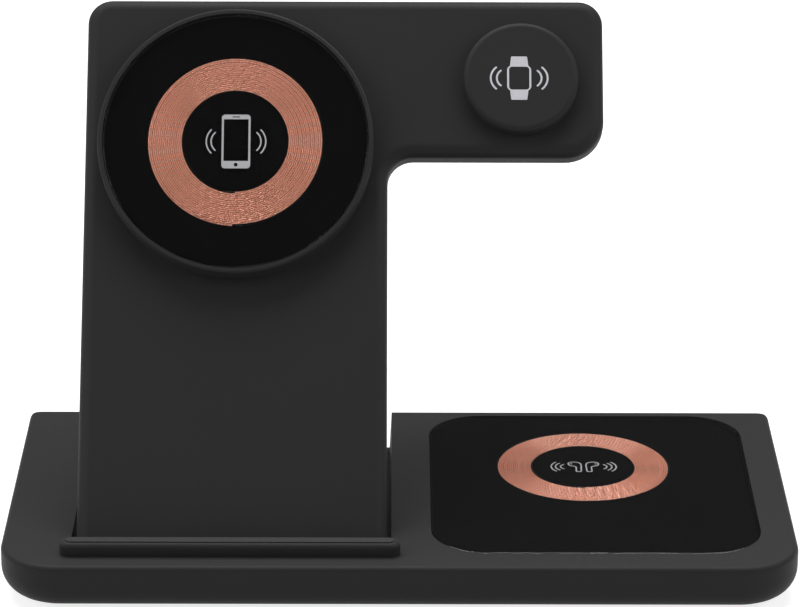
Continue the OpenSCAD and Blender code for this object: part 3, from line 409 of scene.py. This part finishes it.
def spiral_wire(inner, turns, pitch, radius, lay, seed):
    """Vertices and faces of a flat coil: one stranded wire wound from the inside out, from
    the front round by the right, with turns that stray by hundredths of a millimetre."""
    strands = 5
    sides = 2 * strands
    groove = 0.07        # depth between two strands, as a share of the wire's radius
    stray = 0.03 * MM
    bends = 3            # places in each turn where the stray changes
    settle = 4           # the stray fades in and out over one turn divided by this
    step = 0.9 * MM      # length of wire from one ring of vertices to the next
    rng = random.Random(seed)
    offsets = [rng.uniform(-1, 1) for _ in range(turns * bends + 2)]
    vertices, faces = [], []
    turned = 0.0
    travelled = 0.0
    while turned < turns:
        mean = inner + pitch / 2 + pitch * turned
        place = turned * bends
        k = int(place)
        wander = offsets[k] + (offsets[k + 1] - offsets[k]) * (place - k)
        ends = min(1, turned * settle, (turns - turned) * settle)
        r = mean + wander * stray * ends
        heading = 2 * math.pi * turned - math.pi / 2
        radial = Vector((math.cos(heading), math.sin(heading), 0))
        twist = 2 * math.pi * travelled / lay
        for i in range(sides):
            phi = 2 * math.pi * i / sides + twist
            bulge = radius * (1 - groove * (i % 2))
            rise = Vector((0, 0, bulge * math.sin(phi)))
            vertices.append(radial * (r + bulge * math.cos(phi)) + rise)
        travelled += step
        turned += step / (2 * math.pi * mean)
    rings = len(vertices) // sides
    for k in range(rings - 1):
        for i in range(sides):
            j = (i + 1) % sides
            faces.append((k * sides + i, k * sides + j, (k + 1) * sides + j, (k + 1) * sides + i))
    faces.append(tuple(range(sides))[::-1])
    faces.append(tuple((rings - 1) * sides + i for i in range(sides)))
    return vertices, faces


def wind_coil(name, node, core, body, normal, inner, turns, seed, wire, sizes):
    """Winds a coil round the axis of its core, in place of the plain solid and as high."""
    vertices, faces = spiral_wire(
        inner, turns, sizes.coil_pitch, sizes.wire_radius, sizes.strand_lay, seed)
    out = Vector(normal).normalized()
    centre = middle(core)
    level = (middle(node) - centre).dot(out)
    matrix = face_frame(centre + out * level, normal)
    piece = make_piece(
        name, [matrix @ v for v in vertices], faces, body, wire)
    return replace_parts(piece, node)


def arc(centre, radius, start, end, count=24):
    """Points on an arc, its angles in degrees."""
    steps = [math.radians(start + (end - start) * i / count) for i in range(count + 1)]
    return [(centre[0] + radius * math.cos(a), centre[1] + radius * math.sin(a)) for a in steps]


def circle(centre, radius, count=24):
    """Points on a whole circle."""
    return arc(centre, radius, 0, 360 - 360 / count, count - 1)


def round_box(centre, width, height, radius):
    """Outline of a rectangle with round corners."""
    x, y = width / 2 - radius, height / 2 - radius
    corners = [(x, y), (-x, y), (-x, -y), (x, -y)]
    points = []
    for i, corner in enumerate(corners):
        at = (centre[0] + corner[0], centre[1] + corner[1])
        points += arc(at, radius, 90 * i, 90 * i + 90, 8)
    return points


def smooth_loop(points, steps=6):
    """Closed curve through a few points, each stretch a Catmull-Rom piece."""
    curve = []
    count = len(points)
    for i in range(count):
        a, b, c, d = (Vector(points[(i + k - 1) % count]) for k in range(4))
        for s in range(steps):
            t = s / steps
            curve.append(tuple(0.5 * (
                2 * b + (c - a) * t + (2 * a - 5 * b + 4 * c - d) * t * t
                + (3 * b - a - 3 * c + d) * t ** 3)))
    return curve


def side_of(points, distance, closed):
    """The line at a distance to the left of a line."""
    count = len(points)
    moved = []
    for i in range(count):
        before = points[(i - 1) % count] if closed or i > 0 else points[i]
        after = points[(i + 1) % count] if closed or i < count - 1 else points[i]
        along = (Vector(after) - Vector(before)).normalized()
        moved.append((points[i][0] - along[1] * distance, points[i][1] + along[0] * distance))
    return moved


def stroke(points, width, closed=False):
    """Outlines of a line drawn with a width: two loops if it is closed, else one with
    round ends."""
    left = side_of(points, width / 2, closed)
    right = side_of(points, -width / 2, closed)
    if closed:
        return [left, right]
    caps = []
    for tip, inner in ((points[-1], points[-2]), (points[0], points[1])):
        heading = math.degrees(math.atan2(tip[1] - inner[1], tip[0] - inner[0]))
        caps.append(arc(tip, width / 2, heading + 90, heading - 90, 8)[1:-1])
    return [left + caps[0] + right[::-1] + caps[1]]


def wave(apex, chord, depth, width, side):
    """One wave beside a sign: an arc whose apex lies at a distance left or right."""
    radius = (chord ** 2 / 4 + depth ** 2) / (2 * depth)
    half = math.degrees(math.asin(chord / 2 / radius))
    points = arc((apex - radius, 0), radius, -half, half, 16)
    return stroke([(side * x, y) for x, y in points], width)[0]


def waves(list_of_waves, width):
    """Waves on both sides of a sign, each given by its apex, chord and depth."""
    return [wave(*w, width, side) for w in list_of_waves for side in (-1, 1)]


def phone_outlines(width):
    """A plain phone with an ear slot and a round key, and two waves on each side."""
    case, case_r = (7.15, 14.0), 0.85
    brow, chin, side, screen_r = 1.2, 1.92, 0.5, 0.08
    ear_slot, ear_slot_r = (1.9, 0.28), 0.13
    key_r = 0.5
    screen_h = case[1] - brow - chin
    screen_y = (chin - brow) / 2
    return [
        round_box((0, 0), *case, case_r),
        round_box((0, screen_y), case[0] - 2 * side, screen_h, screen_r),
        round_box((0, case[1] / 2 - brow / 2), *ear_slot, ear_slot_r),
        circle((0, -case[1] / 2 + chin / 2), key_r),
    ] + waves([(7.4, 6.0, 1.2), (6.2, 4.6, 1.0)], width)


def watch_outlines(width):
    """A plain square watch with two stubs of strap, and two waves on each side."""
    case = (6.05, 6.7)
    bar, band = 0.5, 0.33
    radius = 1.3
    strap_y, strap_top, strap_low, strap_r = 5.7, 2.02, 2.3, 0.25
    corner = (case[0] / 2 - radius, case[1] / 2 - radius)
    meet = math.degrees(math.acos((strap_low - corner[0]) / radius))
    quarter = arc((strap_top - strap_r, strap_y - strap_r), strap_r, 90, 10, 5)
    quarter += arc(corner, radius, meet, 0, 10)
    below = [(x, -y) for x, y in quarter[::-1]]
    right = quarter + below
    left = [(-x, y) for x, y in right[::-1]]
    screen = round_box((0, 0), case[0] - 2 * bar, case[1] - 2 * band, radius - bar)
    return [right + left, screen] + waves([(7.12, 5.6, 1.35), (5.6, 3.9, 1.0)], width)


def earbud_outlines(width):
    """Two earbuds drawn in outline, each a round head on a stem, and three waves a side."""
    bud = [
        (0.78, -2.9), (0.68, -1.0), (0.62, 0.9), (0.85, 2.1), (1.6, 2.8), (2.7, 2.95),
        (3.55, 2.6), (3.85, 1.75), (3.45, 0.75), (2.5, 0.35), (2.0, -0.1), (1.95, -1.2),
        (1.95, -2.9), (1.38, -3.1)]
    speaker, speaker_r = (3.1, 1.8), width * 0.7
    loops = []
    for side in (-1, 1):
        path = smooth_loop([(side * x, y) for x, y in bud])
        loops += stroke(path, width, True)
        loops.append(circle((side * speaker[0], speaker[1]), speaker_r, 16))
    return loops + waves([(8.28, 5.7, 1.2), (7.18, 4.3, 1.05), (5.9, 2.7, 0.8)], width)


def print_field(name, outlines, matrix, depth, body, inks):
    """Prints a field: outlines in millimetres, filled, inner ones left open, with the ink's
    real depth. The second ink is the primer on its underside."""
    curve = bpy.data.curves.new(name, "CURVE")
    curve.dimensions = "2D"
    curve.fill_mode = "BOTH"
    curve.extrude = depth / 2
    for outline in outlines:
        spline = curve.splines.new("POLY")
        spline.points.add(len(outline) - 1)
        for point, (x, y) in zip(spline.points, outline):
            point.co = (x * MM, y * MM, 0, 1)
        spline.use_cyclic_u = True
    flat = bpy.data.objects.new(name + "_curve", curve)
    bpy.context.scene.collection.objects.link(flat)
    depsgraph = bpy.context.evaluated_depsgraph_get()
    mesh = bpy.data.meshes.new_from_object(flat.evaluated_get(depsgraph))
    bpy.data.objects.remove(flat)
    bpy.data.curves.remove(curve)
    mesh.name = name
    under = [face.index for face in mesh.polygons if face.normal.z < -0.5]
    mesh.transform(matrix @ Matrix.Translation((0, 0, depth / 2)))
    piece = place_piece(name, mesh, body, inks[0])
    mesh.materials.append(inks[1])
    for index in under:
        mesh.polygons[index].material_index = 1
    return piece


def print_signs(colours, sizes, black, over_coil):
    """Prints the three signs, each a little off the middle of its disc or coil."""
    phone, watch, pad = MOUNTS["phone_disc_face"], MOUNTS["watch_disc_face"], MOUNTS["pad_face"]
    width = sizes.stroke / MM
    bold = width * 1.3
    inks = (colours.phone_ink, colours.watch_ink, colours.earbuds_ink)
    signs = (
        ("phone_sign", phone_outlines(width), phone, phone["pos_m"], (0.15, -0.45), "panel"),
        ("watch_sign", watch_outlines(bold), watch, watch["pos_m"], (-0.48, -0.49), "panel"),
        ("earbuds_sign", earbud_outlines(width), pad, over_coil, (0, -2.55), "base"))
    for (name, outlines, mount, place, (right, up), body), ink in zip(signs, inks):
        matrix = face_frame(place, mount["axis"])
        matrix = matrix @ Matrix.Translation((right * MM, up * MM, 0))
        layers = (print_ink(name + "_ink", tuple(ink)), black)
        print_field(
            name, outlines, matrix, sizes.print_depth, body, layers)


def print_backs(sizes, black, over_coil):
    """Prints black behind the two glasses, with a ring left open over each coil. The ring
    ends just past the ferrite disc and just inside the coil."""
    past_ferrite, inside_coil = 0.05, 0.1
    ferrite_low, ferrite_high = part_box("pad_ferrite")
    pad_low, pad_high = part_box("pad_glass")
    disc_low, disc_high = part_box("disc_glass")
    window = [
        circle((0, 0), (ferrite_high.x - ferrite_low.x) / 2 / MM + past_ferrite, 96),
        circle((0, 0), sizes.coil_inner / MM - inside_coil, 72)]
    bare = sizes.bare_edge / MM
    disc_edge = circle((0, 0), (disc_high.x - disc_low.x) / 2 / MM - bare, 96)
    pad_size = (pad_high - pad_low) / MM
    pad_centre = ((pad_low + pad_high) / 2 - over_coil) / MM
    pad_edge = round_box(
        pad_centre, pad_size.x - 2 * bare, pad_size.y - 2 * bare, sizes.pad_corner / MM - bare)
    phone, pad = MOUNTS["phone_disc_face"], MOUNTS["pad_face"]
    behind = Matrix.Translation((0, 0, pad_low.z - pad_high.z + 2 * sizes.print_depth))
    for name, edge, mount, place, body in (
            ("disc_back_print", disc_edge, phone, phone["pos_m"], "panel"),
            ("pad_back_print", pad_edge, pad, over_coil, "base")):
        matrix = face_frame(place, mount["axis"]) @ behind
        print_field(
            name, [edge] + window, matrix, sizes.print_depth, body, (black, black))


class STATION_OT_housings(bpy.types.Operator):
    """Finishes the base, the panel and the discs."""

    bl_idname = "station.housings"
    bl_label = "Housings"

    def execute(self, context):
        colours, sizes = context.scene.station_colours, context.scene.station_sizes
        dress(
            soft_touch_abs(colours, sizes),
            "base_shell", "panel_front_shell", "panel_back_shell", "disc_housing")
        dress(
            textured_abs(colours),
            "base_cover", "pad_carrier", "phone_carrier", "watch_tray", "inlet_tongue")
        return {"FINISHED"}


class STATION_OT_glasses(bpy.types.Operator):
    """Finishes the pad glass and the disc glass."""

    bl_idname = "station.glasses"
    bl_label = "Cover glasses"

    def execute(self, context):
        dress(cover_glass(context.scene.station_colours), "pad_glass", "disc_glass")
        return {"FINISHED"}


class STATION_OT_coils(bpy.types.Operator):
    """Winds the three coils and finishes their leads and ferrite discs."""

    bl_idname = "station.coils"
    bl_label = "Wound coils"

    def execute(self, context):
        colours, sizes = context.scene.station_colours, context.scene.station_sizes
        wire = copper_wire(colours)
        up = MOUNTS["pad_face"]["axis"]
        out = MOUNTS["phone_disc_face"]["axis"]
        big = (sizes.coil_inner, sizes.coil_turns)
        small = (sizes.watch_coil_inner, sizes.watch_coil_turns)
        for name, node, core, body, normal, size, seed in (
                ("pad_winding", "pad_coil", "pad_ferrite", "base", up, big, 11),
                ("phone_winding", "phone_coil", "phone_ferrite", "panel", out, big, 23),
                ("watch_winding", "watch_coil", "watch_magnet", "panel", out, small, 37)):
            wind_coil(name, node, core, body, normal, *size, seed, wire, sizes)
        dress(cable_jacket(), "pad_coil_leads", "phone_coil_leads", "watch_leads")
        dress(fired_ferrite(colours), "pad_ferrite", "phone_ferrite", "watch_ferrite")
        return {"FINISHED"}


class STATION_OT_signs(bpy.types.Operator):
    """Prints the signs, and the black behind the glasses that leaves the coils in view."""

    bl_idname = "station.signs"
    bl_label = "Printed signs"

    def execute(self, context):
        colours, sizes = context.scene.station_colours, context.scene.station_sizes
        black = print_ink("black_back_print", tuple(colours.back_ink), 0.0)
        over_coil = middle("pad_ferrite")
        over_coil.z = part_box("pad_glass")[1].z
        print_signs(colours, sizes, black, over_coil)
        print_backs(sizes, black, over_coil)
        return {"FINISHED"}


class STATION_OT_rubber(bpy.types.Operator):
    """Finishes the feet and the strip on the phone rest."""

    bl_idname = "station.rubber"
    bl_label = "Rubber parts"

    def execute(self, context):
        dress(
            silicone_rubber(context.scene.station_colours),
            "lip_strip", "foot_front_left", "foot_front_right", "foot_back_left",
            "foot_back_right")
        return {"FINISHED"}


class STATION_OT_electronics(bpy.types.Operator):
    """Finishes the boards, what stands on them and the cables."""

    bl_idname = "station.electronics"
    bl_label = "Boards and cables"

    def execute(self, context):
        dress(solder_mask(context.scene.station_colours), "main_board", "panel_board")
        dress(chip_epoxy(), "main_board_chips", "panel_board_chips")
        dress(pressed_iron_powder(), "main_board_coils")
        dress(cable_jacket(), "base_lead", "hinge_lead")
        return {"FINISHED"}


class STATION_OT_hardware(bpy.types.Operator):
    """Finishes the hinge, the screws, the inlet and the magnets."""

    bl_idname = "station.hardware"
    bl_label = "Metal parts"

    def execute(self, context):
        dress(
            zinc_plated_steel(),
            "cover_screws", "main_board_screws", "panel_screws", "leaf_screws",
            "panel_board_screws")
        dress(drawn_stainless(context.scene.station_colours), "inlet_shell")
        dress(die_cast_zinc(), "hinge_block_left", "hinge_block_right")
        dress(
            ground_steel(),
            "hinge_pin_left", "hinge_pin_right", "hinge_leaf_left", "hinge_leaf_right",
            "magnet_plate")
        dress(nickel_plate(), "phone_magnets", "watch_magnet")
        return {"FINISHED"}


def seen_rays(tree):
    """1 for rays that show a surface to the eye: straight, in a mirror or through glass."""
    path = add_node(tree, "ShaderNodeLightPath", {})
    straight = add_node(tree, "ShaderNodeMath", {
        0: path.outputs["Is Camera Ray"], 1: path.outputs["Is Glossy Ray"]}, operation="MAXIMUM")
    both = add_node(tree, "ShaderNodeMath", {
        0: straight.outputs[0], 1: path.outputs["Is Transmission Ray"]}, operation="MAXIMUM")
    return both.outputs[0]


def make_floor(scene, stage):
    """A wide pale floor that reaches white for the eye and keeps the object's shadow."""
    bm = bmesh.new()
    bmesh.ops.create_circle(bm, cap_ends=True, segments=96, radius=9)
    mesh = bpy.data.meshes.new("floor")
    bm.to_mesh(mesh)
    bm.free()
    floor = bpy.data.objects.new("floor", mesh)
    scene.collection.objects.link(floor)
    material = bpy.data.materials.new("studio_paper")
    material.use_nodes = True
    tree = material.node_tree
    tree.nodes.clear()
    paper = add_node(tree, "ShaderNodeBsdfDiffuse", {"Color": (*stage.floor, 1)})
    level = add_node(
        tree, "ShaderNodeMath", {0: seen_rays(tree), 1: stage.floor_glow}, operation="MULTIPLY")
    glow = add_node(
        tree, "ShaderNodeEmission", {"Color": (1, 1, 1, 1), "Strength": level.outputs[0]})
    both = add_node(tree, "ShaderNodeAddShader", {0: paper.outputs[0], 1: glow.outputs[0]})
    add_node(tree, "ShaderNodeOutputMaterial", {"Surface": both.outputs[0]})
    mesh.materials.append(material)


def make_world(scene):
    """White for the eye, pale near the horizon and dim above, as in a room with dark upper
    walls, so that the glasses stay dark."""
    pale, dim = 0.8, 0.05
    low, high = 0.02, 0.3
    world = bpy.data.worlds.new("studio")
    scene.world = world
    world.use_nodes = True
    tree = world.node_tree
    tree.nodes.clear()
    coords = add_node(tree, "ShaderNodeTexCoord", {})
    height = add_node(tree, "ShaderNodeSeparateXYZ", {"Vector": coords.outputs["Generated"]})
    room = add_node(tree, "ShaderNodeMapRange", {
        "Value": height.outputs["Z"], "From Min": low, "From Max": high,
        "To Min": pale, "To Max": dim}, interpolation_type="SMOOTHSTEP")
    path = add_node(tree, "ShaderNodeLightPath", {})
    strength = add_node(tree, "ShaderNodeMath", {
        0: room.outputs["Result"], 1: path.outputs["Is Camera Ray"]}, operation="MAXIMUM")
    back = add_node(tree, "ShaderNodeBackground", {
        "Color": (1, 1, 1, 1), "Strength": strength.outputs[0]})
    add_node(tree, "ShaderNodeOutputWorld", {"Surface": back.outputs[0]})


def make_softbox(scene, name, direction, distance, size, power):
    """A softbox that looks at the object from a direction."""
    lamp = bpy.data.lights.new(name, "AREA")
    lamp.shape = "RECTANGLE"
    lamp.size, lamp.size_y = size
    lamp.energy = power
    holder = bpy.data.objects.new(name, lamp)
    scene.collection.objects.link(holder)
    away = Vector(direction).normalized()
    holder.location = away * distance
    holder.rotation_mode = "QUATERNION"
    holder.rotation_quaternion = away.to_track_quat("Z", "Y")


def make_lights(scene, stage):
    """A wide softbox overhead, a little behind the object, and one on each side."""
    make_softbox(
        scene, "softbox_top", (-0.06, 0.34, 0.94), 1.35, (1.5, 0.9), stage.softbox_power)
    for name, side in (("softbox_left", -1), ("softbox_right", 1)):
        make_softbox(
            scene, name, (side * 0.77, -0.29, 0.57), 1.3, (0.9, 0.7), stage.side_power)


def make_camera(scene, stage):
    """The camera at the photograph's angle."""
    data = bpy.data.cameras.new("camera")
    camera = bpy.data.objects.new("camera", data)
    scene.collection.objects.link(camera)
    data.sensor_width = 36
    data.lens = stage.lens
    data.shift_x, data.shift_y = stage.shift_x, stage.shift_y
    data.clip_start, data.clip_end = 0.05, 60
    camera.location = stage.camera_place
    sight = Vector(stage.camera_aim) - Vector(stage.camera_place)
    camera.rotation_mode = "QUATERNION"
    roll = Matrix.Rotation(stage.camera_roll, 3, "Z").to_quaternion()
    camera.rotation_quaternion = sight.to_track_quat("-Z", "Y") @ roll
    scene.camera = camera


class STATION_OT_stage(bpy.types.Operator):
    """Sets up the floor, the light and the camera."""

    bl_idname = "station.stage"
    bl_label = "Stage"

    def execute(self, context):
        scene = context.scene
        scene.view_settings.view_transform = "Standard"
        make_floor(scene, scene.station_stage)
        make_world(scene)
        make_lights(scene, scene.station_stage)
        make_camera(scene, scene.station_stage)
        return {"FINISHED"}


PIECES = (
    STATION_OT_housings, STATION_OT_glasses, STATION_OT_coils, STATION_OT_signs,
    STATION_OT_rubber, STATION_OT_electronics, STATION_OT_hardware, STATION_OT_stage)


class STATION_PT_panel(bpy.types.Panel):
    """Lists the pieces of the charging station."""

    bl_label = "Charging station"
    bl_idname = "STATION_PT_panel"
    bl_space_type = "VIEW_3D"
    bl_region_type = "UI"
    bl_category = "Station"

    def draw(self, context):
        for piece in PIECES:
            self.layout.operator(piece.bl_idname)


GROUPS = (
    ("station_colours", StationColours), ("station_sizes", StationSizes),
    ("station_stage", StationStage))
CLASSES = (StationColours, StationSizes, StationStage) + PIECES + (STATION_PT_panel,)


def register():
    for cls in CLASSES:
        bpy.utils.register_class(cls)
    for name, group in GROUPS:
        setattr(bpy.types.Scene, name, PointerProperty(type=group))


def unregister():
    for name, _ in GROUPS:
        delattr(bpy.types.Scene, name)
    for cls in reversed(CLASSES):
        bpy.utils.unregister_class(cls)


def main():
    """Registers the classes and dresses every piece."""
    register()
    bpy.ops.station.stage()
    bpy.ops.station.housings()
    bpy.ops.station.glasses()
    bpy.ops.station.coils()
    bpy.ops.station.signs()
    bpy.ops.station.rubber()
    bpy.ops.station.electronics()
    bpy.ops.station.hardware()


if __name__ == "__main__":
    main()
